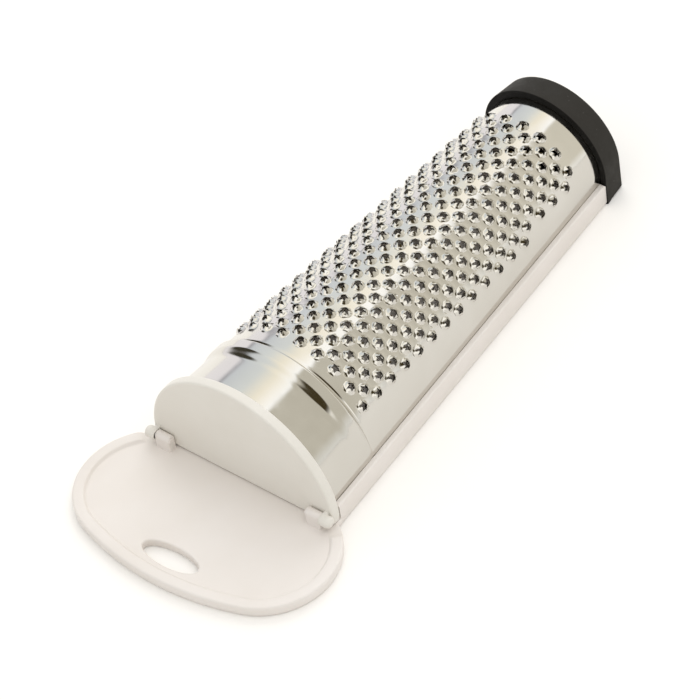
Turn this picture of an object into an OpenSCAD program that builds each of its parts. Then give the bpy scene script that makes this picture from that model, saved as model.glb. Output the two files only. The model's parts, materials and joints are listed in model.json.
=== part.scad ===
// Half-round nutmeg grater: a tapered steel sheet on a moulded base, with a hinged door and an end cap.
// X runs across, Y from the door to the cap, Z up. The door's front face is at Y 0, the base rests on Z 0.

/* [Body] */
// Length from the door's front face to the cap's front face
body_len = 104.7; // [85:0.1:140]
// Width over the base at the door
base_front_w = 46.8; // [42:0.1:60]
// Width over the base at the cap
base_rear_w = 31.6; // [26:0.1:38]
// Thickness of the chamber floor
floor_t = 2.0; // [1.4:0.1:2.3]
// Height of the side strips above the table
strip_h = 5.8; // [4.5:0.1:8]
// Wall thickness of the side strips
strip_t = 1.2; // [1.1:0.05:2]
// Rounding of the strips' outer top edge
strip_round = 0.4; // [0.2:0.1:1.0]

/* [Steel sheet] */
// Thickness of the sheet
sheet_t = 0.5; // [0.35:0.05:0.7]
// Gap between the sheet and the strips
sheet_gap = 0.15; // [0.1:0.05:0.5]
// Height of the sheet's crown at the door
crown_front = 26.5; // [24:0.1:32]
// Height of the sheet's crown at the cap
crown_rear = 22.2; // [18:0.1:22.6]
// Distance of the pressed bead from the door's front face
bead_y = 15.6; // [11:0.1:17]
// Height of the bead at the crown
bead_h = 1.3; // [0.4:0.05:1.5]
// Length of the bead's flared front flank
bead_front = 3.9; // [2:0.1:5]
// Length of the bead's steep rear flank
bead_rear = 1.1; // [0.6:0.1:2]

/* [Burrs] */
// Pitch of the burrs along the body
burr_pitch_len = 4.76; // [4.2:0.02:6]
// Pitch of the burrs round the sheet
burr_pitch_round = 4.66; // [4.2:0.02:6]
// Distance of the first row from the door's front face, at the crown
burr_first = 21.7; // [20:0.1:26]
// Offset of the pattern from the crown, to the right
burr_shift = -0.3; // [-1.2:0.05:1.2]
// How far a row drifts to the rear over one pitch round the sheet
burr_row_lean = -0.18; // [-0.4:0.02:0.4]
// How far a column drifts to the right over one pitch along the body
burr_col_lean = -0.045; // [-0.2:0.005:0.2]
// Number of staggered rows
burr_rows = 33; // [9:2:33]
// Columns on each side of the crown, in half pitches
burr_cols = 9; // [5:1:9]
// Plain margin between the outermost burrs and the strips
burr_margin = 6.6; // [3.5:0.05:8]
// Diameter of a burr at its foot
burr_d = 2.4; // [1.8:0.1:2.8]
// Height of a burr above the sheet
burr_h = 1.1; // [0.6:0.05:1.3]
// Diameter of the hole in a burr's top
burr_hole = 1.1; // [0.7:0.05:1.3]

/* [Door] */
// Thickness of the door
door_t = 2.35; // [2:0.05:3]
// Height of the door's crown
door_top = 28.1; // [27:0.1:34]
// Rounding of the door's edge
door_round = 0.45; // [0.2:0.05:0.8]
// Gap between the door and what it closes on
door_gap = 0.3; // [0.2:0.05:0.5]

/* [Hinge] */
// Height of the hinge axis
hinge_z = 5.0; // [4.6:0.1:6]
// Half thickness of a lug, and its rounding about the axis
lug_r = 1.05; // [1:0.05:1.4]
// Width of a lug across the body
lug_w = 5.2; // [4:0.1:6]
// Radius of a door knuckle
knuckle_r = 1.4; // [1.2:0.05:1.6]
// Diameter of the stub pins
pin_d = 1.1; // [0.9:0.05:1.2]
// Radial play of the pins in the lugs
pin_play = 0.05; // [0.02:0.01:0.09]
// Length of a stub pin inside its lug
pin_len = 3.6; // [2.5:0.1:3.8]

/* [Paddle handle] */
// Reach of the paddle in front of the door
paddle_len = 30.3; // [26:0.1:42]
// Width of the paddle
paddle_w = 62.4; // [60:0.1:80]
// Radius of the paddle's side curves
paddle_side_r = 15.6; // [14:0.1:18]
// Radius of the paddle's end curve
paddle_end_r = 65; // [60:1:90]
// Width of the raised rim
rim_w = 2.7; // [2:0.1:4]
// Height of the rim above the table
rim_z = 3.0; // [2.7:0.1:3.2]
// Height of the sunk face inside the rim
web_z = 2.3; // [1.6:0.1:2.4]
// Length of the hanging hole
hole_l = 14.2; // [10:0.1:18]
// Width of the hanging hole
hole_w = 5.1; // [4.5:0.1:8]
// Distance of the hanging hole from the paddle's end
hole_in = 6.6; // [6:0.1:10]

/* [End cap] */
// Thickness of the cap
cap_t = 6.4; // [5:0.1:10]
// Height of the cap's crown
cap_top = 24.1; // [23.5:0.1:28]
// How far the cap's sides stand out from the strips
cap_over = 0.2; // [0:0.05:1]
// How far the cap narrows on each side over its thickness
cap_draft = 0.6; // [0:0.05:1]
// Rounding of the cap's rear edge
cap_round = 0.7; // [0.2:0.1:1.5]
// Depth of the seat for the sheet's end
cap_seat = 3.0; // [2:0.1:4]

/* [Hidden] */
$fn = 96;
e = 0.02;
big = 400;
half_f = base_front_w / 2;
half_r = base_rear_w / 2;
taper = max((half_f - half_r) / body_len, 0.0001);
taper_a = atan(taper);
// Sheet: radius of the outer face and height of its axis at the two ends
sheet_f = half_f - strip_t - sheet_gap;
sheet_r = half_r - strip_t - sheet_gap;
axis_f = crown_front - sheet_f;
axis_r = crown_rear - sheet_r;
axis_tilt = atan((axis_r - axis_f) / body_len);
sheet_y0 = door_t + door_gap;
sheet_y1 = body_len + cap_seat - 0.1;
// The flat blank of the cone: its apex lies this far behind the door, along the axis and along the sheet
apex_y = sheet_f / taper;
apex_s = apex_y / cos(taper_a);
// Bead: its ring is raised and drawn in so that it runs out before it reaches the strips
bead_lift = 1.7 * bead_h;
// Hinge: the axis lies in front of the door by the lug's rounding and the running gap
hinge_y = -lug_r - door_gap;
lug_out = half_f - 1.3;
lug_in = lug_out - lug_w;
knuckle_in = lug_out + 0.25;
knuckle_out = half_f + 1.3;
door_z0 = web_z + 0.26;
door_axis = door_top - half_f;
door_sweep = door_t - hinge_y;
// Paddle: the side curves touch the end curve from inside
side_x = paddle_w / 2 - paddle_side_r;
end_y = paddle_end_r - paddle_len;
side_y = end_y - sqrt(pow(paddle_end_r - paddle_side_r, 2) - pow(side_x, 2));
wedge_a = atan2(side_x, end_y - side_y);
side_stop = acos(min(1, max(-1, (half_f - side_x) / paddle_side_r)));
rim_round = 0.5;
paddle_back = door_t;
// Cap: front radius and height of its arch
cap_r = half_r + cap_over;
cap_axis = cap_top - cap_r;
tongue_w = base_rear_w * 0.5;

// Half width over the base at a distance from the door
function half_at(y) = half_f - taper * y;
// Radius of the sheet and height of its axis at a distance from the door
function sheet_at(y) = sheet_f - taper * y;
function axis_at(y) = axis_f + (axis_r - axis_f) * y / body_len;
// Angle from the crown at which the sheet goes down behind the strips
function strip_angle(y) = 90 - asin((strip_h - axis_at(y)) / sheet_at(y));
// Angle round the cone and distance from the door of a point on the flat blank
function on_cone(u, v) =
    let (d = apex_s - v)
    let (run = sqrt(u * u + d * d))
    [atan2(u, d) / sin(taper_a), apex_y - run * cos(taper_a)];
// Plain arc left between a burr and the strip
function margin_at(p) = (strip_angle(p[1]) - abs(p[0])) * PI / 180 * sheet_at(p[1]);

// Plan of the body between two distances from the door, grown outwards
module body_plan(front, rear, y0, y1) {
    polygon([[-front, y0], [front, y0], [rear, y1], [-rear, y1]]);
}

// Outer form of the sheet, grown outwards: a cone on two upright skirts, with the pressed bead
module sheet_form(grow, y0, y1, z0) {
    slack = 20;
    front = sheet_f + grow + taper * slack;
    rear = sheet_f + grow - taper * (body_len + slack);
    intersection() {
        translate([-big / 2, y0, z0]) cube([big, y1 - y0, big]);
        translate([0, 0, axis_f]) rotate([axis_tilt, 0, 0]) union() {
            translate([0, -slack, 0]) rotate([-90, 0, 0])
                cylinder(h = body_len + 2 * slack, r1 = front, r2 = rear);
            translate([0, 0, -slack]) linear_extrude(slack)
                body_plan(front, rear, -slack, body_len + slack);
            translate([0, bead_y, bead_lift]) rotate([-90, 0, 0]) bead_ring(grow);
        }
    }
}

// Bead: a revolved ridge with a flared front flank and a steep rear flank
module bead_ring(grow) {
    crest = sheet_at(bead_y) + grow + bead_h - bead_lift;
    foot_f = crest - bead_h * 1.3 + taper * bead_front;
    foot_r = crest - bead_h * 1.3 - taper * bead_rear;
    rotate_extrude() polygon([
        [0, -bead_front], [foot_f, -bead_front], [crest - bead_h * 0.22, -bead_front / 2],
        [crest - 0.04, -0.4], [crest, 0], [crest - 0.1, 0.3], [foot_r, bead_rear], [0, bead_rear]
    ]);
}

// Places its children on the sheet, one for each burr, with Z along the sheet's normal
module on_burrs() {
    for (row = [0 : burr_rows - 1]) {
        for (col = [-burr_cols : burr_cols]) {
            p = on_cone(
                burr_shift + (col * burr_pitch_round + row * burr_col_lean) / 2,
                burr_first + (row * burr_pitch_len + col * burr_row_lean) / 2
            );
            staggered = (row + col + burr_cols) % 2 == 0;
            inside = p[1] < body_len - burr_pitch_len;
            if (staggered && inside && margin_at(p) > burr_margin) {
                translate([0, 0, axis_f]) rotate([axis_tilt, 0, 0]) translate([0, p[1], 0])
                    rotate([0, p[0], 0]) translate([0, 0, sheet_at(p[1])]) rotate([-taper_a, 0, 0])
                        children();
            }
        }
    }
}

// Burr: a cone drawn up out of the sheet, thinned towards its torn rim
module burr() {
    translate([0, 0, -sheet_t / 2])
        cylinder(h = burr_h + sheet_t / 2, d1 = burr_d, d2 = burr_hole + 0.36);
}

// Hole through a burr, wide on the inside of the sheet
module burr_bore() {
    translate([0, 0, -sheet_t * 2])
        cylinder(h = burr_h + sheet_t * 2 + 0.1, d1 = burr_d - sheet_t, d2 = burr_hole);
}

module grater_shell() {
    color("silver") difference() {
        union() {
            difference() {
                sheet_form(0, sheet_y0, sheet_y1, floor_t);
                sheet_form(-sheet_t, sheet_y0 - 1, sheet_y1 + 1, floor_t - 1);
            }
            on_burrs() burr();
        }
        on_burrs() burr_bore();
    }
}

// Section of a side strip: upright wall with its outer top edge rounded
module strip_section() {
    polygon(concat(
        [[-strip_t, 0], [0, 0]],
        arc([-strip_round, strip_h - strip_round], strip_round, 0, 90, 12),
        [[-strip_t, strip_h]]
    ));
}

// One side strip, with its rear top corner rounded, and the low rib inside the sheet
module side_strip() {
    run = body_len / cos(taper_a);
    corner = 0.6;
    intersection() {
        translate([0, sheet_y0, 0]) cube([big, body_len - sheet_y0, big]);
        translate([half_f, 0, 0]) rotate([0, 0, taper_a]) difference() {
            translate([0, run + 2, 0]) rotate([90, 0, 0]) linear_extrude(run + 4) strip_section();
            translate([-big / 2, run - corner, strip_h - corner]) difference() {
                cube([big, corner + 4, corner + 4]);
                rotate([0, 90, 0]) cylinder(h = big, r = corner);
            }
        }
    }
    intersection() {
        translate([0, sheet_y0, floor_t - e]) cube([big, body_len - sheet_y0, 1.6]);
        linear_extrude(big) difference() {
            body_plan(sheet_f - sheet_t - 0.1, sheet_r - sheet_t - 0.1, 0, body_len);
            body_plan(sheet_f - sheet_t - 1.1, sheet_r - sheet_t - 1.1, 0, body_len);
        }
    }
}

// Points of an arc about a centre, from one angle to another
function arc(centre, r, from, to, steps) =
    [for (i = [0 : steps]) centre + r * [cos(from + (to - from) * i / steps), sin(from + (to - from) * i / steps)]];

// Outline of the paddle, drawn in by an inset: the end curve, the two side curves that touch it,
// and straight runs back along the base to a distance from the door
function paddle_points(inset, back_x, back_y) = concat(
    [[-back_x, back_y]],
    arc([-side_x, side_y], paddle_side_r - inset, 180 - side_stop, 270 - wedge_a, 24),
    arc([0, end_y], paddle_end_r - inset, 270 - wedge_a + 1.5, 270 + wedge_a - 1.5, 14),
    arc([side_x, side_y], paddle_side_r - inset, wedge_a - 90, side_stop, 24),
    [[back_x, back_y]]
);
// Height in the plan at which an inset side curve ends
function side_end(inset) = side_y + (paddle_side_r - inset) * sin(side_stop);

// Full paddle with its outer top edge rounded, running back under the door
module paddle_block() {
    steps = 4;
    back_x = half_at(paddle_back);
    back_y = max(paddle_back, side_end(0) + e);
    intersection() {
        translate([-big / 2, paddle_back - big, 0]) cube(big);
        hull() {
            linear_extrude(rim_z - rim_round) polygon(paddle_points(0, back_x, back_y));
            for (i = [1 : steps]) {
                translate([0, 0, rim_z - rim_round]) linear_extrude(rim_round * sin(i * 90 / steps))
                    polygon(paddle_points(rim_round * (1 - cos(i * 90 / steps)), back_x, back_y));
            }
        }
    }
}

// Paddle: the block sunk to the web inside its rim, and level with the web under the door
module paddle() {
    back_x = side_x + (paddle_side_r - rim_w) * cos(side_stop);
    difference() {
        paddle_block();
        translate([0, 0, web_z]) linear_extrude(rim_z)
            polygon(paddle_points(rim_w, back_x, max(sheet_y0, side_end(rim_w) + e)));
        translate([-half_f - door_gap, -door_gap, web_z])
            cube([2 * (half_f + door_gap), sheet_y0 + door_gap, rim_z]);
    }
}

// Hanging hole: an ellipse through the web
module hanging_hole() {
    translate([0, hole_in - paddle_len, -1]) linear_extrude(rim_z + 2)
        polygon([for (i = [0 : 71]) [hole_l / 2 * cos(i * 5), hole_w / 2 * sin(i * 5)]]);
}

// Hinge lug, rounded about the axis, standing on the paddle
module lug() {
    translate([lug_in, hinge_y, hinge_z]) rotate([0, 90, 0]) cylinder(h = lug_w, r = lug_r);
    translate([lug_in, hinge_y - lug_r, 0.5]) cube([lug_w, 2 * lug_r, hinge_z - 0.5]);
}

module base_handle() {
    color("linen") difference() {
        union() {
            paddle();
            linear_extrude(floor_t) body_plan(half_f, half_r, 0, body_len);
            translate([-tongue_w / 2, body_len - 2, 0]) cube([tongue_w, 2 + cap_seat - 0.1, floor_t]);
            for (side = [0, 1]) {
                mirror([side, 0, 0]) side_strip();
                mirror([side, 0, 0]) lug();
            }
        }
        hanging_hole();
        for (side = [0, 1]) {
            mirror([side, 0, 0]) translate([lug_out - pin_len - 0.3, hinge_y, hinge_z])
                rotate([0, 90, 0]) cylinder(h = pin_len + 1, d = pin_d + 2 * pin_play);
        }
    }
}

// Half section of the door from its middle out to its rounded rim
module door_section() {
    square([half_f - door_round, door_t]);
    translate([0, door_round]) square([half_f, door_t - 2 * door_round]);
    translate([half_f - door_round, door_round]) circle(r = door_round);
    translate([half_f - door_round, door_t - door_round]) circle(r = door_round);
}

// Knuckle: a round end on the door's corner, with the stub pin that turns in the lug
module knuckle() {
    soft = knuckle_r / 2;
    long = knuckle_out - knuckle_in;
    translate([knuckle_in, hinge_y, hinge_z]) rotate([0, 90, 0]) rotate_extrude() {
        square([knuckle_r, long - soft]);
        square([knuckle_r - soft, long]);
        translate([knuckle_r - soft, long - soft]) circle(r = soft);
    }
    translate([knuckle_in, hinge_y, hinge_z - knuckle_r])
        cube([half_f - 0.2 - knuckle_in, door_t / 2 - hinge_y, 2 * knuckle_r]);
    translate([lug_out - pin_len, hinge_y, hinge_z]) rotate([0, 90, 0])
        cylinder(h = pin_len + 0.8, d = pin_d);
}

module front_door() {
    color("whitesmoke") {
        difference() {
            union() {
                translate([0, 0, door_axis]) rotate_extrude_up() door_section();
                translate([0, 0, door_z0]) linear_extrude(door_axis - door_z0) {
                    door_section();
                    mirror([1, 0, 0]) door_section();
                }
            }
            translate([-big / 2, 0, hinge_z - big]) difference() {
                cube([big, big, big]);
                translate([0, hinge_y, big]) rotate([0, 90, 0]) cylinder(h = big, r = door_sweep);
            }
        }
        for (side = [0, 1]) mirror([side, 0, 0]) knuckle();
    }
}

// Turns a half section about the Y axis through the upper half circle
module rotate_extrude_up() {
    rotate([-90, 0, 0]) rotate([0, 0, 180]) rotate_extrude(angle = 180) children();
}

// Half section of the cap from its middle out to its side, rear edge rounded
module cap_section() {
    rear = cap_r - cap_draft;
    steps = 6;
    polygon(concat(
        [[0, 0], [cap_r, 0]],
        [for (i = [0 : steps]) [
            rear - cap_round * (1 - cos(i * 90 / steps)),
            cap_t - cap_round * (1 - sin(i * 90 / steps))
        ]],
        [[0, cap_t]]
    ));
}

module end_cap() {
    color("#33322f") difference() {
        translate([0, body_len, 0]) union() {
            translate([0, 0, cap_axis]) rotate_extrude_up() cap_section();
            linear_extrude(cap_axis) {
                cap_section();
                mirror([1, 0, 0]) cap_section();
            }
        }
        sheet_form(0.05, body_len - 1, body_len + cap_seat, floor_t);
        translate([-tongue_w / 2 - 0.05, body_len - 1, -1])
            cube([tongue_w + 0.1, 1 + cap_seat, floor_t + 1.05]);
    }
}

base_handle();
grater_shell();
front_door();
end_cap();
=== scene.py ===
"""Looks of a half-round nutmeg grater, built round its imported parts: a punched steel sheet, a moulded
white base with a paddle handle, a hinged white door and a black end cap."""

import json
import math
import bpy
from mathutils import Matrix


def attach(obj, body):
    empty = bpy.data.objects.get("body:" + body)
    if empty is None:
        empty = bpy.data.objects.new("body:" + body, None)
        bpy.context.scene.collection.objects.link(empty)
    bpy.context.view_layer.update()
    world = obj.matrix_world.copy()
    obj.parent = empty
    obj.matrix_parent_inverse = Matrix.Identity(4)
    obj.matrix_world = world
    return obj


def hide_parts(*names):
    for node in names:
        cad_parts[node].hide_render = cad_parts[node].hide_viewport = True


bl_info = {
    "name": "Nutmeg Grater Looks",
    "version": (1, 0, 0),
    "blender": (4, 5, 0),
    "location": "3D View > Sidebar > Grater",
    "description": "Builds the visible pieces, finishes and stage of a half-round nutmeg grater",
    "category": "Object",
}

import bpy
import numpy as np
from bpy.props import FloatProperty, FloatVectorProperty, IntProperty, PointerProperty
from mathutils import Matrix, Vector

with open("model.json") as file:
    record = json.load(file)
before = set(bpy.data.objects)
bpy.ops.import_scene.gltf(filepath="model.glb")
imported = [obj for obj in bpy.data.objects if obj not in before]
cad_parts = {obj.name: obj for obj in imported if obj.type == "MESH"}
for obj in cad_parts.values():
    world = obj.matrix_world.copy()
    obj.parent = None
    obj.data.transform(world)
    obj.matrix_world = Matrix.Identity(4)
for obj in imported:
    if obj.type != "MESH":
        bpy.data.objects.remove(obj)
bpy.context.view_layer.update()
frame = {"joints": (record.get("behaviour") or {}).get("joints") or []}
HINGE = frame["joints"][0]["pos_m"]
MM = 0.001


def length(name, description, mm):
    """A length property whose default is given in millimetres and kept in metres."""
    return FloatProperty(name=name, description=description, default=mm * MM, unit="LENGTH", precision=5)


def colour(name, description, default):
    """A linear colour property."""
    return FloatVectorProperty(name=name, description=description, default=default, size=3, min=0.0,
                               max=1.0, subtype="COLOR")


def share(name, description, default):
    """A property from none to all."""
    return FloatProperty(name=name, description=description, default=default, min=0.0, max=1.0,
                         subtype="FACTOR")


def tilt(name, description, degrees):
    """An angle property whose default is given in degrees."""
    return FloatProperty(name=name, description=description, default=math.radians(degrees), subtype="ANGLE")


def amount(name, description, default):
    """A property from nothing upwards."""
    return FloatProperty(name=name, description=description, default=default, min=0.0)


def number(name, description, default):
    """A count, from one upwards."""
    return IntProperty(name=name, description=description, default=default, min=1)


class GraterSizes(bpy.types.PropertyGroup):
    """Sizes of the grater's pieces."""

    body_len: length("Body length", "From the door's front face to the cap's front face", 104.7)
    half_front: length("Front half width", "Half the width over the base at the door", 23.4)
    half_rear: length("Rear half width", "Half the width over the base at the cap", 15.8)
    floor_t: length("Floor", "Thickness of the chamber floor", 2.0)
    strip_h: length("Strip height", "Height of the side strips above the table", 5.8)
    strip_wall: length("Strip wall", "Wall of the side strips", 1.2)
    strip_round: length("Strip rounding", "Rounding of the strips' outer top edge", 0.4)
    strip_corner: length("Strip corner", "Rounding of the strips' rear top corner", 0.6)
    sheet_t: length("Sheet", "Thickness of the steel sheet", 0.5)
    sheet_gap: length("Sheet gap", "Gap between the sheet and the strips", 0.15)
    crown_front: length("Front crown", "Height of the sheet's crown at the door", 26.5)
    crown_rear: length("Rear crown", "Height of the sheet's crown at the cap", 22.2)
    bead_at: length("Bead place", "Distance of the pressed bead from the door's front face", 15.9)
    bead_h: length("Bead height", "Height of the bead at the crown", 1.3)
    bead_front: length("Bead front", "Length of the bead's flared front flank", 3.9)
    bead_rear: length("Bead rear", "Length of the bead's steep rear flank", 1.2)
    crease_d: length("Crease depth", "Depth of the fine crease behind the bead", 0.22)
    crease_w: length("Crease width", "Half the width of the crease", 0.3)
    crease_at: length("Crease place", "Distance of the crease behind the bead's crest", 1.35)
    burr_pitch_len: length("Burr pitch along", "Pitch of the burrs along the body", 4.76)
    burr_pitch_round: length("Burr pitch round", "Pitch of the burrs round the sheet", 4.66)
    burr_first: length("First burrs", "Distance of the first row at the crown from the door's front", 21.7)
    burr_shift: length("Burr offset", "Offset of the pattern from the crown, to the right", -0.3)
    burr_row_lean: length("Row lean", "Drift of a row to the rear over one pitch round the sheet", -0.18)
    burr_col_lean: length("Column lean", "Drift of a column to the right over one pitch along", -0.045)
    burr_margin: length("Burr margin", "Plain margin between the outermost burrs and the strips", 6.6)
    burr_left: tilt("Burr limit", "Angle from the crown that ends the burrs on the left", 56)
    burr_h: length("Burr height", "Height of a burr's torn rim above the sheet", 1.1)
    burr_hole: length("Burr hole", "Radius of the hole in the sheet below a burr", 1.1)
    burr_rows: number("Burr rows", "Number of staggered rows", 33)
    burr_cols: number("Burr columns", "Half pitches on each side of the crown", 9)
    swell_h: length("Swell height", "How far the sheet is drawn up round a burr", 0.12)
    swell_w: length("Swell width", "Distance from a burr over which the swell falls off", 1.6)
    door_t: length("Door", "Thickness of the door", 2.35)
    door_top: length("Door crown", "Height of the door's crown", 28.1)
    door_foot: length("Door foot", "Height of the door's lower edge", 2.56)
    door_round: length("Door rounding", "Rounding of the door's edge", 0.45)
    lug_r: length("Lug rounding", "Half thickness of a hinge lug", 1.05)
    lug_out: length("Lug outer end", "Distance of a lug's outer end from the middle", 21.6)
    lug_w: length("Lug width", "Width of a lug across the body", 3.7)
    lug_shift: length("Lug shift", "How far a lug stands from the hinge axis towards the door", 0.24)
    knuckle_r: length("Knuckle", "Radius of a door knuckle", 1.32)
    knuckle_in: length("Knuckle inner end", "Distance of a knuckle's inner end from the middle", 21.63)
    knuckle_out: length("Knuckle outer end", "Distance of a knuckle's outer end from the middle", 24.3)
    pin_r: length("Pin", "Radius of the stub pins", 0.55)
    pin_play: length("Pin play", "Radial play of the pins in the lugs", 0.05)
    pin_len: length("Pin length", "Length of a stub pin inside its lug", 3.6)
    paddle_len: length("Paddle reach", "Reach of the paddle in front of the door", 30.3)
    paddle_half: length("Paddle half width", "Half the width of the paddle", 31.2)
    paddle_side_r: length("Paddle side curve", "Radius of the paddle's side curves", 15.6)
    paddle_end_r: length("Paddle end curve", "Radius of the paddle's end curve", 65.0)
    rim_w: length("Rim width", "Width of the paddle's raised rim", 2.7)
    rim_z: length("Rim height", "Height of the rim above the table", 3.0)
    rim_round: length("Rim rounding", "Rounding of the rim's outer edge", 0.5)
    web_z: length("Web height", "Height of the sunk face inside the rim", 2.3)
    hole_l: length("Hole length", "Length of the hanging hole", 14.2)
    hole_w: length("Hole width", "Width of the hanging hole", 5.1)
    hole_in: length("Hole place", "Distance of the hanging hole from the paddle's end", 6.6)
    cap_t: length("Cap", "Thickness of the end cap", 6.4)
    cap_top: length("Cap crown", "Height of the cap's crown", 24.1)
    cap_over: length("Cap overhang", "How far the cap's sides stand out from the strips", 0.2)
    cap_draft: length("Cap draft", "How far the cap narrows on each side over its thickness", 0.6)
    cap_round: length("Cap rounding", "Rounding of the cap's rear edge", 0.7)
    cap_seat: length("Cap seat", "Depth of the cap's seat for the sheet's end", 3.0)


class GraterFinish(bpy.types.PropertyGroup):
    """Colours and finishes."""

    base_white: colour("Base white", "Warm white of the base moulding", (0.845, 0.80, 0.757))
    door_white: colour("Door white", "White of the door moulding", (0.80, 0.775, 0.715))
    plastic_rough: share("Moulding roughness", "Roughness of the white mouldings", 0.38)
    steel: colour("Steel", "Colour of the polished sheet", (0.69, 0.67, 0.63))
    steel_rough: share("Steel roughness", "Roughness of the polished sheet", 0.10)
    cap_black: colour("Cap black", "Colour of the end cap", (0.034, 0.0315, 0.0275))
    cap_speck: colour("Cap specks", "Colour of the pale specks in the cap", (0.07, 0.068, 0.062))
    cap_rough: share("Cap roughness", "Roughness of the end cap", 0.62)


class GraterStage(bpy.types.PropertyGroup):
    """Camera, lamps and floor."""

    view_turn: tilt("View turn", "Turn of the camera to the right of the front", 45.34416)
    view_rise: tilt("View rise", "Height angle of the camera", 45.96665)
    view_roll: tilt("View roll", "Roll of the camera about its line of sight", -10.14895)
    view_far: length("View distance", "Distance of the camera from its aim", 842.321)
    view_aim: FloatVectorProperty(name="View aim", description="Point on the table that the camera looks at",
                                  default=(-0.0054994, 0.0417151, 0.0), size=3, subtype="TRANSLATION",
                                  precision=5)
    view_lens: amount("View lens", "Focal length on a 36 mm sensor, in millimetres", 207.178)
    key: amount("Key lamp", "Power of the broad key lamp, in watts", 3.6)
    fill: amount("Fill lamp", "Power of the fill lamp overhead, in watts", 2.5)
    around: amount("Room light", "Strength of the even light from all round", 0.78)
    floor_lift: share("Floor lift", "White added to the floor where the camera sees it", 0.10)
    floor_glow: share("Floor glow", "White added left of the body where metal mirrors the floor", 0.2)


def soft_step(t):
    """A smooth rise from 0 to 1, level at both ends: three squares less two cubes."""
    t = np.clip(t, 0, 1)
    return t * t * (3 - 2 * t)


def circle(x, y, radius, turn):
    """Points on a circle about a middle, at the angles given."""
    return np.stack([x + radius * np.cos(turn), y + radius * np.sin(turn)], -1)


def grid_quads(rows, cols, around, along):
    """Quads of a grid of rows by cols points. around joins each row's end to its start, along joins the
    last row to the first."""
    i, j = np.meshgrid(np.arange(rows if along else rows - 1), np.arange(cols if around else cols - 1),
                       indexing="ij")
    k, m = (i + 1) % rows, (j + 1) % cols
    return np.stack([i * cols + j, i * cols + m, k * cols + m, k * cols + j], -1).reshape(-1, 4)


def outward_sign(points, quads, middle):
    """Sign of the sum over all quads of area vector times the way from a middle point to the quad's
    centre: plus where the faces point outwards."""
    a, b, c, d = (points[quads[:, k]] for k in range(4))
    area = np.cross(c - a, d - b)
    return np.sign(np.sum(area * ((a + b + c + d) / 4 - middle)))


def put_piece(name, points, quads, ends=(), middle=(0, 0, 0), smooth_to=38.0):
    """Puts a grid of points, its quads and any whole rows that close its ends into a mesh object in place.
    Faces are turned outwards, and edges sharper than smooth_to degrees stay crisp."""
    points = np.asarray(points, float).reshape(-1, 3)
    if not np.isfinite(points).all():
        raise RuntimeError(f"{name}: a point of the surface isn't a number")
    faces = [tuple(q) for q in quads.tolist()] + [tuple(int(i) for i in ring) for ring in ends]
    if outward_sign(points, quads, np.asarray(middle, float)) < 0:
        faces = [face[::-1] for face in faces]
    mesh = bpy.data.meshes.new(name)
    mesh.from_pydata(points.tolist(), [], faces)
    mesh.shade_smooth()
    mesh.set_sharp_from_angle(angle=math.radians(smooth_to))
    mesh.update()
    piece = bpy.data.objects.new(name, mesh)
    bpy.context.scene.collection.objects.link(piece)
    return piece


def put_loft(name, rings, ends=True, along=False):
    """A skin over rings of equally many points, in order. ends closes the first and last ring with a face,
    which turns against the skin at the first ring and with it at the last."""
    rings = np.asarray(rings, float)
    rows, cols = rings.shape[:2]
    first, last = np.arange(cols)[::-1], (rows - 1) * cols + np.arange(cols)
    closed = (first, last) if ends else ()
    return put_piece(name, rings, grid_quads(rows, cols, True, along), closed)


def dress(piece, material, body, slot, *nodes):
    """Gives a piece its finish and the body it moves with, and hides the solids that it stands for. The slot
    is not used.
    """
    piece.data.materials.append(material)
    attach(piece, body)
    if nodes:
        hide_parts(*nodes)


# Gap between the door and what stands behind it, and play of the sheet in its seats
DOOR_GAP, SEAT_PLAY = 0.3 * MM, 0.1 * MM


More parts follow.
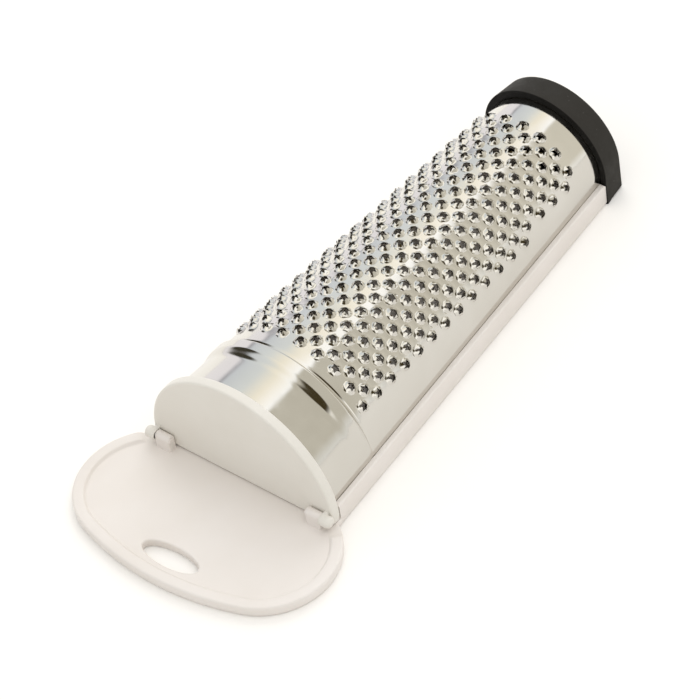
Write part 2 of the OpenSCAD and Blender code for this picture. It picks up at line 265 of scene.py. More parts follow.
class SheetForm:
    """Outer face of the steel sheet: a cone that narrows to the rear round an axis that rises to the rear,
    on two upright skirts. Angles run from the crown, positive to the right, and distances along the axis."""

    # Shape of the bead: share of its front flank that rises quickly, share of its height reached there,
    # how fast it falls away from the crown, and how softly it runs out
    QUICK, MOST, FADE, SOFT = 0.52, 0.76, 1.3, 0.05

    def __init__(self, size):
        self.size = size
        self.taper = (size.half_front - size.half_rear) / size.body_len
        self.slope = math.atan(self.taper)
        inset = size.strip_wall + size.sheet_gap
        self.front = size.half_front - inset
        self.axis_front = size.crown_front - self.front
        self.axis_rear = size.crown_rear - (size.half_rear - inset)
        self.tilt = math.atan((self.axis_rear - self.axis_front) / size.body_len)
        self.start = size.door_t + DOOR_GAP
        self.stop = size.body_len + size.cap_seat - SEAT_PLAY
        self.apex = self.front / self.taper
        self.apex_flat = self.apex / math.cos(self.slope)

    def radius(self, along):
        """Radius of the cone, which falls evenly along the axis."""
        return self.front - self.taper * along

    def bead(self, angle, along):
        """Height of the pressed bead: in front of its crest a quick smooth rise to most of its height and an
        even climb for the rest, behind it a steep half wave, times a share that falls with one minus the
        cosine of the angle and runs out above the strips. Behind the bead a fine crease, a bell curve, runs
        down to the strips."""
        size = self.size
        d = along - size.bead_at
        climb = np.clip(1 + d / size.bead_front, 0, 1)
        flare = self.MOST * soft_step(climb / self.QUICK) + (1 - self.MOST) * climb
        fall = 0.5 + 0.5 * np.cos(np.pi * np.clip(d / size.bead_rear, 0, 1))
        left = 1 - self.FADE * (1 - np.cos(angle))
        faded = 0.5 * (left + np.sqrt(left * left + self.SOFT))
        crease = np.exp(-((d - size.crease_at) / size.crease_w) ** 2) * np.clip(3 * np.cos(angle), 0, 1)
        return size.bead_h * faded * np.where(d < 0, flare, fall) - size.crease_d * crease

    def point(self, angle, along, lift, drop=0.0):
        """A point at an angle and a distance, lifted along the cone's normal and dropped straight down,
        turned by the axis's tilt."""
        r = self.radius(along)
        x = r * np.sin(angle) + lift * np.sin(angle) * math.cos(self.slope)
        y = along + lift * math.sin(self.slope)
        z = r * np.cos(angle) + lift * np.cos(angle) * math.cos(self.slope) - drop
        c, s = math.cos(self.tilt), math.sin(self.tilt)
        return np.stack(np.broadcast_arrays(x, y * c - z * s, self.axis_front + y * s + z * c), -1)

    def along_at(self, angle, y, drop):
        """Distance along the axis at which the sheet crosses an upright plane, found by repeated steps."""
        along = y + 0 * angle
        for _ in range(4):
            z = self.radius(along) * np.cos(angle) - drop
            along = (y + z * math.sin(self.tilt)) / math.cos(self.tilt)
        return along

    def from_blank(self, u, v):
        """Angle and distance along the axis of a point on the flat blank: the blank is a sector of a ring
        about the apex, so the angle on it is spread by one over the sine of the cone's slope."""
        d = self.apex_flat - v
        return np.arctan2(u, d) / math.sin(self.slope), self.apex - np.hypot(u, d) * math.cos(self.slope)

    def to_blank(self, angle, along):
        """Place on the flat blank of a point on the cone, the reverse of from_blank."""
        run = (self.apex - along) / math.cos(self.slope)
        turn = angle * math.sin(self.slope)
        return run * np.sin(turn), self.apex_flat - run * np.cos(turn)

    def burrs(self):
        """Places of the burrs on the flat blank: every other point of a slightly leaning grid of half
        pitches, inside a margin over the strips, up to an angle on the left and short of the cap."""
        size = self.size
        row, col = np.meshgrid(np.arange(size.burr_rows), np.arange(-size.burr_cols, size.burr_cols + 1),
                               indexing="ij")
        u = size.burr_shift + (col * size.burr_pitch_round + row * size.burr_col_lean) / 2
        v = size.burr_first + (row * size.burr_pitch_len + col * size.burr_row_lean) / 2
        angle, along = self.from_blank(u, v)
        axis = self.axis_front + (self.axis_rear - self.axis_front) * along / size.body_len
        radius = self.radius(along)
        edge = math.pi / 2 - np.arcsin((size.strip_h - axis) / radius)
        keep = (row + col + size.burr_cols) % 2 == 0
        keep &= along < size.body_len - size.burr_pitch_len
        keep &= (edge - np.abs(angle)) * radius > size.burr_margin
        keep &= angle > -size.burr_left
        return u[keep], v[keep]


# Distance behind the bead's crest up to which the sheet's rows lie close
FINE_END = 2.2 * MM


def sheet_surface(size):
    """Points and quads of the sheet's outer face over angle and length, finer from the bead to its crease,
    drawn up round each burr by a bell curve of the distance to it, without the quads over a burr's hole."""
    form = SheetForm(size)
    arc = np.linspace(-math.pi / 2, math.pi / 2, 169)
    angle = np.pad(arc, 2, "edge")
    part = np.concatenate([[1.0, 0.5], 0 * arc, [0.5, 1.0]])
    fine = size.bead_at - size.bead_front, size.bead_at + FINE_END
    y = np.concatenate([
        np.linspace(form.start, fine[0], 18, endpoint=False),
        np.linspace(*fine, 68, endpoint=False),
        np.linspace(fine[1], form.stop, 168),
    ])
    a, yy = np.meshgrid(angle, y)
    axis = form.axis_front + (form.axis_rear - form.axis_front) * yy / size.body_len
    drop = part[None, :] * (axis - size.floor_t)
    along = form.along_at(a, yy, drop)
    quads = grid_quads(len(y), len(angle), False, False)
    u, v = (m.reshape(-1) for m in form.to_blank(a, along))
    bu, bv = (b.astype(np.float32) for b in form.burrs())

    def spans(pu, pv):
        return np.hypot(pu.astype(np.float32)[:, None] - bu, pv.astype(np.float32)[:, None] - bv)

    swell = size.swell_h * np.exp(-(spans(u, v) / size.swell_w) ** 2).sum(1).reshape(a.shape)
    points = form.point(a, along, form.bead(a, along) + swell, drop)
    near = spans(u[quads].mean(1), v[quads].mean(1)).min(1)
    return points, quads[near > size.burr_hole]


def burr_surface(size):
    """Points and quads of all burrs. Each is a closed ring of eight hoops: flange, foot, wall, shoulder,
    crown, torn rim, throat and inner mouth, the middle ones on a dome. Five petals stand up between five
    tears, so the rim's height and radius swing from spoke to spoke, and every burr is turned and torn a
    little differently. The profile is drawn in millimetres for one height and stretched to the height
    asked for."""
    form = SheetForm(size)
    bu, bv = form.burrs()
    count, hoops, spokes = len(bu), 8, 10
    drawn_h, foot = 1.1, 1.42
    chance = np.random.default_rng(41)
    petal = (np.arange(spokes) % 2 == 0)[None, :]
    wild = chance.random((2, count, spokes))
    flat = np.ones((count, spokes))
    rim = np.where(petal, 0.54 + 0.18 * wild[0], 0.98 + 0.20 * wild[0] ** 2)
    crown = rim + np.where(petal, 0.22, 0.03)
    shoulder = np.where(petal, 1.0, crown + 0.05)
    wall = np.maximum(1.2, shoulder + 0.04)
    throat = np.where(petal, 0.62, rim - 0.06)
    radius = np.stack([1.72 * flat, foot * flat, wall, shoulder, crown, rim, throat, 1.12 * flat], 1)
    height = 0.06 + 0.94 * (1 - (radius.clip(0, foot - 0.01) / foot) ** 2) ** 0.82
    # Flange, foot, throat and mouth lie off the dome, and the torn rim swings about it
    for hoop, level in ((0, 0.02), (1, 0.10), (6, 0.30), (7, -0.46)):
        height[:, hoop] = level
    height[:, 5] += np.where(petal, 0.22 * wild[1] - 0.02, -0.08)
    radius = radius * MM
    height = np.where(height > 0.1, height * (size.burr_h / (drawn_h * MM)), height) * MM
    turn = (2 * np.pi / spokes) * (np.arange(spokes) + 0.16 * chance.standard_normal((count, spokes)))
    turn = (turn + 2 * np.pi * chance.random((count, 1)))[:, None, :]
    grow = 1 + 0.05 * chance.standard_normal((count, 1, 1)).clip(-1.5, 1.5)
    lean = 0.05 * MM * chance.standard_normal((2, count, 1, 1))
    upper = height > 0.2 * MM
    u = bu[:, None, None] + radius * np.cos(turn) + lean[0] * upper
    v = bv[:, None, None] + radius * np.sin(turn) + lean[1] * upper
    angle, along = form.from_blank(u, v)
    points = form.point(angle, along, np.where(height > 0.1 * MM, height * grow, height))
    one = grid_quads(hoops, spokes, True, True)
    quads = (np.arange(count)[:, None, None] * hoops * spokes + one[None]).reshape(-1, 4)
    return points, quads


# Softened lower edge of the base: pairs of inset and height, in millimetres
LOW_EDGE = np.array([[1.0, 0.0], [0.6, 0.1], [0.25, 0.4], [0.1, 0.9]])


def tray_rings(size):
    """Rings of the base's channel: one section with two strips, their slots for the sheet and two low ribs,
    carried to the rear with its half width falling evenly, its top limited by a quarter circle at the end."""
    bend, r = np.linspace(0, np.pi / 2, 8), size.strip_round
    wall = size.strip_wall + size.sheet_gap - 0.01 * MM
    inner = size.strip_wall + size.sheet_gap + size.sheet_t + SEAT_PLAY
    bevel, rib_w, rib = 0.1 * MM, 1.0 * MM, size.floor_t + 1.58 * MM
    side = np.concatenate([
        LOW_EDGE * MM,
        circle(r, size.strip_h - r, r, np.pi - bend),
        [[wall - bevel, size.strip_h], [wall, size.strip_h - bevel], [wall, size.floor_t],
         [inner, size.floor_t], [inner, rib], [inner + rib_w, rib], [inner + rib_w, size.floor_t]],
    ])
    c, runs = size.strip_corner, 24
    y = np.concatenate([np.linspace(size.door_t + 0.9 * DOOR_GAP, size.body_len - c, runs),
                        size.body_len - c + c * np.sin(bend[1:])])
    top = np.concatenate([np.full(runs, size.strip_h), size.strip_h - c * (1 - np.cos(bend[1:]))])
    half = size.half_front - (size.half_front - size.half_rear) * y / size.body_len
    inset, z = np.concatenate([side, side[::-1]]).T
    sign = np.repeat((1.0, -1.0), len(side))
    return np.stack([sign * (half[:, None] - inset), y[:, None] + 0 * inset, np.minimum(z, top[:, None])], -1)


def paddle_outline(size, inset):
    """Plan of the paddle drawn in by an inset: an arc on each side that touches the wide end arc, and a
    straight run under the door that joins them."""
    r, end = size.paddle_side_r, size.paddle_end_r
    sx = size.paddle_half - r
    ey = end - size.paddle_len
    sy = ey - math.sqrt((end - r) ** 2 - sx * sx)
    wedge = math.atan2(sx, ey - sy)
    stop = math.acos((size.half_front - sx) / r)
    left = np.linspace(math.pi - stop, 1.5 * math.pi - wedge, 64)
    middle = np.linspace(1.5 * math.pi - wedge, 1.5 * math.pi + wedge, 50)[1:-1]
    right = np.linspace(wedge - math.pi / 2, stop, 64)
    arcs = np.concatenate([circle(-sx, sy, r - inset, left), circle(0, ey, end - inset, middle),
                           circle(sx, sy, r - inset, right)])
    tuck = 0.17 * MM
    x, y = arcs[-1, 0] - tuck, size.door_t + DOOR_GAP
    return np.concatenate([arcs, np.linspace((x, y), (-x, y), 26)])


def paddle_rings(size):
    """Rings of the paddle, a closed band: from the hanging hole's lower edge out under the paddle, up its
    rounded side, over the rim, down a soft step to the sunk face and back to the hole. The hole is an
    ellipse, met along straight lines from its middle to the outline."""
    hole_at = np.array([0.0, size.hole_in - size.paddle_len])
    outer = paddle_outline(size, 0.0)
    turn = np.arctan2(outer[:, 1] - hole_at[1], outer[:, 0] - hole_at[0])

    def hole(grow):
        a, b = size.hole_l / 2 + grow, size.hole_w / 2 + grow
        r = a * b / np.hypot(b * np.cos(turn), a * np.sin(turn))
        return circle(*hole_at, r, turn)

    def ring(plan, z):
        return np.column_stack([plan, np.broadcast_to(z, len(plan))])

    rim_run, half_step, lip_r, e = 1.2 * MM, 0.5 * MM, 0.45 * MM, size.rim_round
    rim = size.web_z + (size.rim_z - size.web_z) * soft_step((-DOOR_GAP - outer[:, 1]) / rim_run)
    soft = np.linspace(0, np.pi / 2, 7)
    rings = [ring(hole(grow * MM), z * MM) for grow, z in ((0.0, 0.6), (0.2, 0.2), (0.6, 0.0))]
    rings += [ring(paddle_outline(size, inset), z) for inset, z in LOW_EDGE * MM]
    rings += [ring(paddle_outline(size, e * (1 - math.cos(t))), rim - e + e * math.sin(t)) for t in soft]
    rings += [ring(paddle_outline(size, size.rim_w - half_step), rim)]
    for s in np.linspace(0, 1, 7)[1:]:
        z = size.web_z + (rim - size.web_z) * (0.5 + 0.5 * math.cos(math.pi * s))
        rings.append(ring(paddle_outline(size, size.rim_w + (0.75 * s - 0.45) * MM), z))
    sunk, lip = paddle_outline(size, size.rim_w + half_step), hole(lip_r + 0.05 * MM)
    rings += [ring(sunk + (lip - sunk) * s, size.web_z) for s in (0.0, 0.35, 0.7, 1.0)]
    rings += [ring(hole(lip_r * (1 - math.sin(t))), size.web_z - lip_r * (1 - math.cos(t))) for t in soft[1:]]
    return np.stack(rings)


def block_section(radius, depth, inset):
    """Section of a block with a round head, drawn in by an inset: a half circle, two straight sides down to
    a depth and a flat foot, about the head's middle."""
    r = radius - inset
    return np.concatenate([
        circle(0, 0, r, np.linspace(0, np.pi, 25)),
        np.linspace((-r, 0), (-r, -depth), 8)[1:],
        np.linspace((-r, -depth), (r, -depth), 8)[1:-1],
        np.linspace((r, -depth), (r, 0), 8)[:-1],
    ])


# Softened end of a hinge block: pairs of distance from its end and inset, in millimetres
EDGE = ((0.0, 0.30), (0.05, 0.15), (0.15, 0.04), (0.30, 0.0))


def block_stations(start, stop, outer_soft=1.0):
    """Places across the body and insets of a block's rings, with softened ends, the outer one by a share."""
    ends = [(start + x * MM, inset * MM) for x, inset in EDGE]
    return ends + [(stop - x * MM * outer_soft, inset * MM * outer_soft) for x, inset in EDGE[::-1]]


def hinge_ring(x, plan):
    """A ring at a place across the body: a plan of y and z about the hinge axis."""
    return np.column_stack([np.full(len(plan), x), HINGE[1] + plan[:, 0], HINGE[2] + plan[:, 1]])


def lug_rings(size, side):
    """Rings of a hinge lug: its section carried across the body with softened ends, then in through the
    blind bore of the pin at its outer end."""
    rooted, bore_play = 0.6 * MM, 0.3 * MM
    depth = HINGE[2] - size.web_z + rooted
    rings = []
    for x, inset in block_stations(size.lug_out - size.lug_w, size.lug_out, 1 / 3):
        plan = block_section(size.lug_r, depth, inset)
        rings.append(hinge_ring(side * x, plan + (size.lug_shift, 0.0)))
    turn = np.arctan2(plan[:, 1], plan[:, 0])
    bore = circle(0, 0, size.pin_r + size.pin_play, turn)
    rings += [hinge_ring(side * x, bore) for x in (size.lug_out, size.lug_out - size.pin_len - bore_play)]
    return np.stack(rings)


def arm_rings(size, side):
    """Rings of the arm that joins a knuckle to the door: a block with its round head about the hinge axis,
    laid over to the rear, with softened ends."""
    width, reach = 1.05 * MM, 1.9 * MM
    rings = []
    for x, inset in block_stations(size.knuckle_in, size.knuckle_in + width):
        plan = block_section(size.knuckle_r, reach, inset)
        rings.append(hinge_ring(side * x, np.stack([-plan[:, 1], plan[:, 0]], -1)))
    return np.stack(rings)


def knuckle_profile(size):
    """Profile of a knuckle in millimetres, as distance across the body and radius: a drum with a softened
    inner edge and a domed outer end."""
    near, far, r = size.knuckle_in / MM, size.knuckle_out / MM, size.knuckle_r / MM
    drum = [(near, r - 0.1), (near + 0.03, r - 0.03), (near + 0.1, r)]
    dome = ((0.85, 0.0), (0.55, 0.06), (0.3, 0.22), (0.12, 0.48), (0.02, 0.85), (0.0, 1.1))
    return drum + [(far - back, r - drop) for back, drop in dome]


def stub_profile(size):
    """Profile of a stub pin in millimetres, from its bevelled tip in the lug to its root in the knuckle."""
    tip, root, r = (size.lug_out - size.pin_len) / MM, size.knuckle_in / MM, size.pin_r / MM
    return [(tip, r - 0.12), (tip + 0.12, r), (root + 0.3, r), (root + 0.4, r - 0.1)]


def turned_rings(profile, side, spokes=40):
    """Rings of a shape turned about the hinge axis from a profile in millimetres."""
    turn = np.linspace(0, 2 * np.pi, spokes, endpoint=False)
    return np.stack([hinge_ring(side * x * MM, circle(0, 0, r * MM, turn)) for x, r in profile])


def arch(radius, axis, foot, corner):
    """Outline of a round-headed plate: a half circle about a height, straight sides, rounded lower corners
    and a flat foot."""
    bend = np.linspace(0, np.pi / 2, 6)
    x, z = radius - corner, foot + corner
    return np.concatenate([
        circle(0, axis, radius, np.linspace(0, np.pi, 97)),
        np.linspace((-radius, axis), (-radius, z), 8)[1:-1],
        circle(-x, z, corner, bend + np.pi),
        np.linspace((-x, foot), (x, foot), 26)[1:-1],
        circle(x, z, corner, bend - np.pi / 2),
        np.linspace((radius, z), (radius, axis), 8)[1:-1],
    ])


def plate_ring(plan, y):
    """An upright ring: a plan of x and z at distances y."""
    return np.column_stack([plan[:, 0], np.broadcast_to(y, len(plan)), plan[:, 1]])


def face_rings(plan, middle, shares, y):
    """Upright rings of a plan drawn in towards its middle to each of the shares."""
    return [plate_ring(middle + (plan - middle) * s, y) for s in shares]


# Shares to which a face's outline shrinks towards its middle, closest at the edge
SHRINK = (0.985, 0.96, 0.93, 0.90, 0.86, 0.82, 0.78, 0.74, 0.6, 0.4, 0.2, 0.06)


def door_rings(size):
    """Rings of the door from the middle of its front face over its rounded rim to the middle of its rear
    face. Below the hinge the rear face is limited by a cylinder about the hinge, so that the foot clears as
    it swings."""
    axis = size.door_top - size.half_front
    soft = np.linspace(0, np.pi / 2, 6)
    e = size.door_round
    middle = np.array([0.0, 12 * MM])

    def plan(inset):
        return arch(size.half_front - inset, axis, size.door_foot + inset, 0.5 * MM)

    face = plan(e + 0.12 * MM)
    rings = face_rings(face, middle, (1.0, *SHRINK), 0.0)[::-1]
    rings += [plate_ring(plan(e * (1 - math.sin(t))), e * (1 - math.cos(t))) for t in soft]
    rings += [plate_ring(plan(e * (1 - math.cos(t))), size.door_t - e * (1 - math.sin(t))) for t in soft]
    rings += face_rings(face, middle, (1.0, *SHRINK), size.door_t)
    rings = np.stack(rings)
    sweep = size.door_t - HINGE[1]
    below = np.minimum(rings[..., 2] - HINGE[2], 0)
    rings[..., 1] = np.minimum(rings[..., 1], HINGE[1] + np.sqrt(sweep ** 2 - below ** 2))
    return rings


# Front edge of the cap: pairs of inset and distance to the rear, in millimetres
CAP_EDGE = ((0.5, 0.0), (0.15, 0.0), (0.05, 0.02), (0.01, 0.08), (0.0, 0.2))


def cap_rings(size):
    """Rings of the end cap: from the floor of its seat out along the seat's wall, over the front face, along
    the drafted side, round the rear edge and in to the middle of the rear face."""
    form = SheetForm(size)
    y, e = size.body_len, size.cap_round
    radius = size.half_rear + size.cap_over
    axis = size.cap_top - radius
    seat_r = form.radius(y) + 0.05 * MM
    bevel, foot_lift = 0.15 * MM, 0.25 * MM
    middle = np.array([0.0, 9 * MM])

    def seat(grow):
        return arch(seat_r + grow, form.axis_rear, size.floor_t - grow, 0.2 * MM)

    def plan(inset):
        return arch(radius - inset, axis, min(inset, foot_lift), 0.35 * MM)

    floor, face = seat(0), plan(size.cap_draft + e + 0.25 * MM)
    rings = face_rings(floor, middle, (0.06, 0.5, 1.0), y + size.cap_seat)
    rings += [plate_ring(floor, y + bevel), plate_ring(seat(bevel), y)]
    rings += [plate_ring(plan(inset * MM), y + back * MM) for inset, back in CAP_EDGE]
    rings += [plate_ring(plan(size.cap_draft * s), y + (size.cap_t - e) * s) for s in (0.35, 0.7)]
    for t in np.linspace(0, np.pi / 2, 7):
        draft = size.cap_draft + e * (1 - math.cos(t))
        rings.append(plate_ring(plan(draft), y + size.cap_t - e + e * math.sin(t)))
    rings += face_rings(face, middle, (1.0, 0.8, 0.45, 0.06), y + size.cap_t)
    return np.stack(rings)


def feed(node, inputs):
    """Sets inputs of a node, or links them where a value is another node's output."""
    for key, value in inputs.items():
        if isinstance(value, bpy.types.NodeSocket):
            node.id_data.links.new(value, node.inputs[key])
        else:
            node.inputs[key].default_value = value


class Nodes:
    """The nodes of a finish or a room in the making."""

    def __init__(self, tree):
        self.tree = tree

    def add(self, kind, inputs=None, **settings):
        """Outputs of a new node with settings and inputs."""
        made = self.tree.nodes.new(kind)
        for key, value in settings.items():
            setattr(made, key, value)
        feed(made, inputs or {})
        return made.outputs

    def maths(self, operation, *values):
        """Result of an operation on values."""
        return self.add("ShaderNodeMath", dict(enumerate(values)), operation=operation)[0]

    def span(self, value, low, high, start=0.3, stop=0.7, **settings):
        """A value spread from one range to another."""
        return self.add("ShaderNodeMapRange", {"Value": value, "From Min": start, "From Max": stop,
                                               "To Min": low, "To Max": high}, **settings)["Result"]

    def blend(self, factor, low, high):
        """A colour between two colours, each fixed or another node's."""
        ends = [end if isinstance(end, bpy.types.NodeSocket) else (*end, 1.0) for end in (low, high)]
        return self.add("ShaderNodeMix", {0: factor, 6: ends[0], 7: ends[1]}, data_type="RGBA")[2]


class Finish(Nodes):
    """A material in the making: a Principled shader and the nodes that feed it."""

    def __init__(self, name):
        self.material = bpy.data.materials.new(name)
        self.material.use_nodes = True
        super().__init__(self.material.node_tree)
        self.shader = self.tree.nodes["Principled BSDF"]
        self.place = self.add("ShaderNodeTexCoord")["Object"]

    def noise(self, scale, detail, rough, stretch=None):
        """Noise in the piece's own space, stretched where asked."""
        place = self.place
        if stretch:
            place = self.add("ShaderNodeMapping", {"Vector": place, "Scale": stretch})["Vector"]
        return self.add("ShaderNodeTexNoise", {"Vector": place, "Scale": scale, "Detail": detail,
                                               "Roughness": rough})["Fac"]

    def clouds(self, scale, rgb, dark, light):
        """Slow clouds between a darker and a lighter tint of a colour."""
        cloud = self.span(self.noise(scale, 4.0, 0.55), 0.0, 1.0)
        return self.blend(cloud, scaled(rgb, dark), scaled(rgb, light))

    def relief(self, *layers):
        """Bumps one on the other, each a height from 0 to 1, its depth in metres and its strength."""
        below = {}
        for height, depth, strength in layers:
            bump = {"Height": height, "Distance": depth, "Strength": strength, **below}
            below["Normal"] = self.add("ShaderNodeBump", bump)["Normal"]
        return below["Normal"]


def scaled(rgb, factor):
    """A colour made lighter or darker."""
    return tuple(min(1.0, c * f) for c, f in zip(rgb, factor))


def white_moulding(name, white, rough):
    """Warm white satin moulding: slow cloudy tone, faint flow ripple, fine eroded skin and uneven gloss."""
    made = Finish(name)
    ripple, skin = made.noise(95.0, 2.0, 0.4), made.noise(2600.0, 2.0, 0.5)
    feed(made.shader, {
        "Base Color": made.clouds(42.0, white, (0.965, 0.955, 0.94), (1.02, 1.02, 1.025)),
        "Roughness": made.span(made.noise(310.0, 4.0, 0.6), rough - 0.05, rough + 0.07),
        "Normal": made.relief((ripple, 0.00012, 0.10), (skin, 0.00002, 0.22)),
        "Specular IOR Level": 0.45,
    })
    return made.material


def polished_sheet(name, steel, rough):
    """Polished sheet: even metal with a faint cloudy tint, fine drawn lines along the body and hazy
    patches."""
    made = Finish(name)
    wave, haze = made.noise(70.0, 2.0, 0.4), made.noise(240.0, 5.0, 0.6)
    lines = made.noise(1.0, 3.0, 0.6, (5200.0, 130.0, 5200.0))
    feed(made.shader, {
        "Base Color": made.clouds(60.0, steel, (0.96, 0.955, 0.94), (1.03, 1.03, 1.03)),
        "Metallic": 1.0,
        "Roughness": made.span(haze, rough - 0.05, rough + 0.08),
        "Normal": made.relief((wave, 0.0001, 0.06), (lines, 0.00001, 0.08)),
    })
    return made.material


def black_moulding(name, black, speck, rough, shade_to):
    """Matte black moulding: uneven gloss, fine grain and sparse pale specks. Its front face, up to a given
    distance along the body, is painted much darker as painted shade and shows no specks."""
    made = Finish(name)
    along = made.add("ShaderNodeSeparateXYZ", {0: made.place})["Y"]
    # Mask of the painted shade: nought on the front face, where the colour is painted darker as shade, and
    # one behind it
    past_painted_shade = made.span(along, 0.0, 1.0, shade_to, shade_to + 0.15 * MM)
    dots = made.add("ShaderNodeTexVoronoi", {"Vector": made.place, "Scale": 1150.0, "Randomness": 1.0},
                    feature="F1")["Distance"]
    patch = made.span(made.noise(520.0, 2.0, 0.5), 0.0, 1.0, 0.58, 0.68)
    sparse = made.maths("MULTIPLY", made.span(dots, 1.0, 0.0, 0.10, 0.26), patch)
    # Painted shade for the front face: a fifth of the black
    painted_shade_black = scaled(black, (0.2, 0.2, 0.2))
    feed(made.shader, {
        "Base Color": made.blend(past_painted_shade, painted_shade_black, made.blend(sparse, black, speck)),
        "Roughness": made.span(made.noise(420.0, 4.0, 0.6), rough - 0.08, rough + 0.10),
        "Normal": made.relief((made.noise(1500.0, 3.0, 0.6), 0.00006, 0.30), (dots, 0.00003, 0.15)),
        "Specular IOR Level": 0.12,
    })
    return made.material


def finishes():
    """The four finishes, made once and found again by name."""
    look = bpy.context.scene.grater_finish
    makers = {
        "warm_white_moulding": (white_moulding, look.base_white, look.plastic_rough),
        "door_white_moulding": (white_moulding, look.door_white, look.plastic_rough),
        "polished_sheet": (polished_sheet, look.steel, look.steel_rough),
        "matte_black_moulding": (black_moulding, look.cap_black, look.cap_speck, look.cap_rough,
                                 bpy.context.scene.grater_sizes.body_len),
    }
    return {n: bpy.data.materials.get(n) or make(n, *given) for n, (make, *given) in makers.items()}


SIDES = ((-1, "left"), (1, "right"))


class GRATER_OT_sheet(bpy.types.Operator):
    """Make the tapered steel sheet with its pressed bead and its burr holes"""

    bl_idname = "grater.sheet"
    bl_label = "Steel Sheet"

    def execute(self, context):
        size = context.scene.grater_sizes
        points, quads = sheet_surface(size)
        sheet = put_piece("grating_sheet", points, quads, middle=(0, size.body_len / 2, size.floor_t))
        wall = sheet.modifiers.new("wall", "SOLIDIFY")
        wall.thickness = size.sheet_t
        wall.offset = -1.0
        wall.use_rim = True
        dress(sheet, finishes()["polished_sheet"], "grater", "polished_steel", "grater_shell")
        return {"FINISHED"}


class GRATER_OT_burrs(bpy.types.Operator):
    """Make the field of torn burrs on the sheet"""

    bl_idname = "grater.burrs"
    bl_label = "Burrs"

    def execute(self, context):
        points, quads = burr_surface(context.scene.grater_sizes)
        burrs = put_piece("burr_field", points, quads, smooth_to=60.0)
        dress(burrs, finishes()["polished_sheet"], "grater", "polished_steel")
        return {"FINISHED"}


class GRATER_OT_base(bpy.types.Operator):
    """Make the base: its channel with the side strips, the paddle handle and the two hinge lugs"""

    bl_idname = "grater.base"
    bl_label = "Base And Handle"

    def execute(self, context):
        size = context.scene.grater_sizes
        white = finishes()["warm_white_moulding"]
        dress(put_loft("base_channel", tray_rings(size)), white, "grater", "white_base", "base_handle")
        paddle = put_loft("paddle_handle", paddle_rings(size), ends=False, along=True)
        dress(paddle, white, "grater", "white_base")
        for side, name in SIDES:
            dress(put_loft("hinge_lug_" + name, lug_rings(size, side)), white, "grater", "white_base")
        return {"FINISHED"}


class GRATER_OT_door(bpy.types.Operator):
    """Make the hinged door with its two knuckles and stub pins"""

    bl_idname = "grater.door"
    bl_label = "Front Door"

    def execute(self, context):
        size = context.scene.grater_sizes
        white = finishes()["door_white_moulding"]
        dress(put_loft("door_plate", door_rings(size)), white, "door", "white_door", "front_door")
        for side, name in SIDES:
            for piece, rings in (
                ("door_knuckle_", turned_rings(knuckle_profile(size), side)),
                ("door_pin_", turned_rings(stub_profile(size), side, 28)),
                ("door_hinge_arm_", arm_rings(size, side)),
            ):
                dress(put_loft(piece + name, rings), white, "door", "white_door")
        return {"FINISHED"}


class GRATER_OT_cap(bpy.types.Operator):
    """Make the black end cap with the seat for the sheet"""

    bl_idname = "grater.cap"
    bl_label = "End Cap"

    def execute(self, context):
        cap = put_loft("rear_cap", cap_rings(context.scene.grater_sizes))
        dress(cap, finishes()["matte_black_moulding"], "grater", "black_cap", "end_cap")
        return {"FINISHED"}


# Bands of the room that polished metal mirrors: angle about the body's axis in degrees, from straight up and
# positive to the right, and tone
ROOM_BANDS = (
    (-100, (1.08, 1.06, 1.09)), (-68, (1.07, 1.05, 1.11)), (-64, (0.45, 0.45, 0.50)),
    (-59, (0.80, 0.85, 0.92)), (-34, (0.93, 0.98, 1.00)), (-15, (1.24, 1.18, 1.02)), (-4, (1.36, 1.33, 1.26)),
    (5, (1.42, 1.44, 1.46)), (9, (0.70, 0.67, 0.585)), (76, (0.70, 0.67, 0.585)), (88, (0.95, 0.95, 0.92)),
)
# Gain of the bands right of an angle in degrees, and how far a direction points to the rear as it sets in
REAR_GAIN, REAR_RIGHT_OF, REAR_FROM, REAR_TO = 1.25, 8, 0.56, 0.64
# A bright card and two dim openings: direction, half angles in degrees of edge and core, and tone
ROOM_CARDS = (
    ((0.66, -0.66, 0.25), 36, 18, (1.36, 1.34, 1.28)),
    ((0.54, -0.40, 0.74), 26, 15, (0.06, 0.044, 0.016)),
    ((-0.87, -0.08, 0.46), 24, 13, (0.055, 0.05, 0.035)),
)
# Reach of the floor and its depth below the table, places across the body where its glow sets in and is
# full, and the point that the lamps face, all in metres
FLOOR_REACH, FLOOR_SINK = 4.0, 0.02 * MM
GLOW_FROM, GLOW_TO = -0.02, -0.06
LAMP_AIM = (0, 0.045, 0)
WHITE = (1.0, 1.0, 1.0, 1.0)


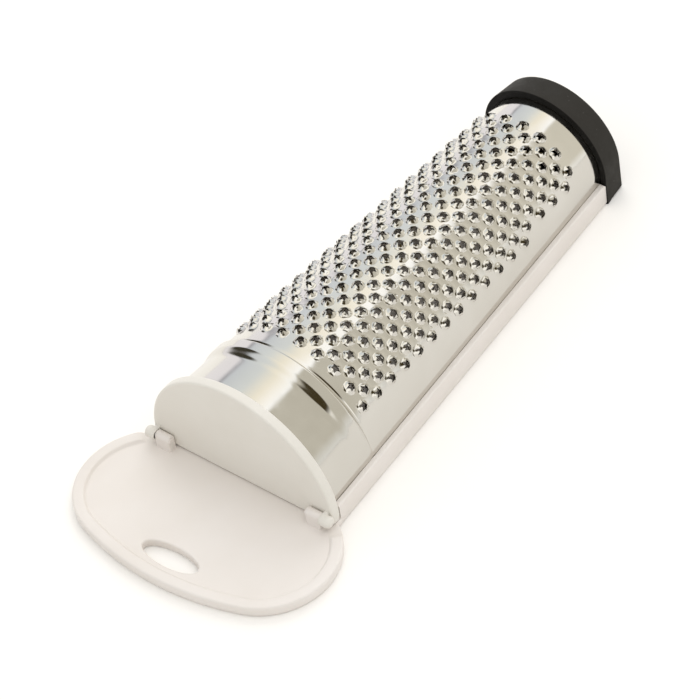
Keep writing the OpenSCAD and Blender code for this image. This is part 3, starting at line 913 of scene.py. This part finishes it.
class GRATER_OT_stage(bpy.types.Operator):
    """Set the pale floor, the soft lamps and the camera"""

    bl_idname = "grater.stage"
    bl_label = "Stage"

    def execute(self, context):
        scene, stage = context.scene, context.scene.grater_stage
        scene.view_settings.view_transform = "Standard"
        self.make_floor(stage)
        self.make_room(scene, stage)
        self.make_lamps(scene, stage)
        self.make_camera(scene, stage)
        return {"FINISHED"}

    def make_floor(self, stage):
        """A wide level sheet just below the table's height. Its shader adds a little white for the camera's
        own rays, so that it reads as white and keeps the shadow, and some left of the body for what metal
        mirrors."""
        steps = np.linspace(-FLOOR_REACH, FLOOR_REACH, 5)
        x, y = np.meshgrid(steps, steps)
        floor = put_piece("studio_floor", np.stack([x, y, 0 * x - FLOOR_SINK], -1),
                          grid_quads(5, 5, False, False), middle=(0, 0, -1))
        made = Finish("pale_floor")
        seen = made.add("ShaderNodeLightPath")
        across = made.add("ShaderNodeSeparateXYZ", {0: made.place})["X"]
        left = made.span(across, 0.0, stage.floor_glow, GLOW_FROM, GLOW_TO)
        glow = made.maths("MULTIPLY", seen["Is Glossy Ray"], left)
        feed(made.shader, {
            "Base Color": (0.93, 0.915, 0.885, 1.0),
            "Roughness": 0.9,
            "Specular IOR Level": 0.0,
            "Emission Color": WHITE,
            "Emission Strength": made.maths("MULTIPLY_ADD", seen["Is Camera Ray"], stage.floor_lift, glow),
        })
        floor.data.materials.append(made.material)

    def make_room(self, scene, stage):
        """Even light from all round. The camera and glass see the room as white. Polished metal sees bands
        that run along the body, set by the angle about its axis and lighter to the rear on the right, with a
        bright card at the front right and two dim openings."""
        world = bpy.data.worlds.new("studio_room")
        scene.world = world
        world.use_nodes = True
        world.node_tree.nodes.clear()
        room = Nodes(world.node_tree)
        way = room.add("ShaderNodeTexCoord")["Generated"]
        axes = room.add("ShaderNodeSeparateXYZ", {0: way})
        turn = room.maths("ARCTAN2", axes["X"], axes["Z"])
        place = room.span(turn, 0.0, 1.0, -math.pi, math.pi)
        ramps = []
        for gain in (1.0, REAR_GAIN):
            bands = room.add("ShaderNodeValToRGB", {"Fac": place})["Color"]
            stops = bands.node.color_ramp.elements
            stops[0].color = stops[1].color = WHITE
            for angle, tone in ROOM_BANDS:
                lift = gain if angle > REAR_RIGHT_OF else 1.0
                stops.new((angle + 180) / 360).color = (*(c * lift for c in tone), 1.0)
            ramps.append(bands)
        tint = room.blend(room.span(axes["Y"], 0.0, 1.0, REAR_FROM, REAR_TO), *ramps)
        for centre, edge, core, tone in ROOM_CARDS:
            near = room.add("ShaderNodeVectorMath", {0: way, 1: Vector(centre).normalized()},
                            operation="DOT_PRODUCT")["Value"]
            inside = room.span(near, 0.0, 1.0, math.cos(math.radians(edge)), math.cos(math.radians(core)),
                               interpolation_type="SMOOTHSTEP")
            tint = room.blend(inside, tint, tone)
        lit, mirrored, shown = (
            room.add("ShaderNodeBackground", {"Color": tone, "Strength": strength})[0]
            for tone, strength in (((1.0, 0.995, 0.985, 1.0), stage.around), (tint, 1.0), (WHITE, 1.0))
        )
        seen = room.add("ShaderNodeLightPath")
        clear = room.maths("MAXIMUM", seen["Is Camera Ray"], seen["Is Transmission Ray"])
        first = room.add("ShaderNodeMixShader", {0: seen["Is Glossy Ray"], 1: lit, 2: mirrored})[0]
        last = room.add("ShaderNodeMixShader", {0: clear, 1: first, 2: shown})[0]
        room.add("ShaderNodeOutputWorld", {"Surface": last})

    def make_lamps(self, scene, stage):
        """A broad key high up at the rear left and a soft fill high up at the right. Metal shows the room's
        bands in their place."""
        for name, watts, wide, tall, at, tint in (
            ("key_lamp", stage.key, 1.0, 0.8, (-0.41, 0.76, 0.94), (1.0, 0.985, 0.955)),
            ("fill_lamp", stage.fill, 0.9, 0.7, (0.38, 0.06, 1.08), (1.0, 0.985, 0.96)),
        ):
            light = bpy.data.lights.new(name, "AREA")
            light.energy, light.color = watts, tint
            light.shape, light.size, light.size_y = "RECTANGLE", wide, tall
            lamp = bpy.data.objects.new(name, light)
            lamp.location = at
            lamp.rotation_euler = (Vector(LAMP_AIM) - Vector(at)).to_track_quat("-Z", "Y").to_euler()
            lamp.visible_glossy = False
            scene.collection.objects.link(lamp)

    def make_camera(self, scene, stage):
        """A camera at a turn, rise and distance from its aim, rolled about its line of sight."""
        lens = bpy.data.cameras.new("photo_camera")
        lens.sensor_width, lens.lens = 36.0, stage.view_lens
        lens.clip_start, lens.clip_end = 0.01, 20.0
        back = Vector((math.sin(stage.view_turn) * math.cos(stage.view_rise),
                       -math.cos(stage.view_turn) * math.cos(stage.view_rise), math.sin(stage.view_rise)))
        level = Vector((0, 0, 1)).cross(back).normalized()
        upright = back.cross(level)
        right = level * math.cos(stage.view_roll) + upright * math.sin(stage.view_roll)
        turn = Matrix((right, back.cross(right), back)).transposed()
        camera = bpy.data.objects.new("photo_camera", lens)
        place = Matrix.Translation(Vector(stage.view_aim) + back * stage.view_far)
        camera.matrix_world = place @ turn.to_4x4()
        scene.collection.objects.link(camera)
        scene.camera = camera


STEPS = ("sheet", "burrs", "base", "door", "cap", "stage")


class GRATER_PT_pieces(bpy.types.Panel):
    """Lists the pieces of the grater and the sizes, finishes and lights that a user may change"""

    bl_label = "Nutmeg Grater"
    bl_idname = "GRATER_PT_pieces"
    bl_space_type = "VIEW_3D"
    bl_region_type = "UI"
    bl_category = "Grater"

    def draw(self, context):
        for step in STEPS:
            self.layout.operator("grater." + step)
        for group in (context.scene.grater_sizes, context.scene.grater_finish, context.scene.grater_stage):
            column = self.layout.column(align=True)
            for name in group.__annotations__:
                column.prop(group, name)


GROUPS = {"grater_sizes": GraterSizes, "grater_finish": GraterFinish, "grater_stage": GraterStage}
CLASSES = (*GROUPS.values(), GRATER_OT_sheet, GRATER_OT_burrs, GRATER_OT_base, GRATER_OT_door, GRATER_OT_cap,
           GRATER_OT_stage, GRATER_PT_pieces)


def register():
    for cls in CLASSES:
        bpy.utils.register_class(cls)
    for name, group in GROUPS.items():
        setattr(bpy.types.Scene, name, PointerProperty(type=group))


def unregister():
    for name in GROUPS:
        delattr(bpy.types.Scene, name)
    for cls in reversed(CLASSES):
        bpy.utils.unregister_class(cls)


def main():
    """Registers the classes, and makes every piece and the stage."""
    register()
    for step in STEPS:
        getattr(bpy.ops.grater, step)()
    bpy.context.view_layer.update()


if __name__ == "__main__":
    main()
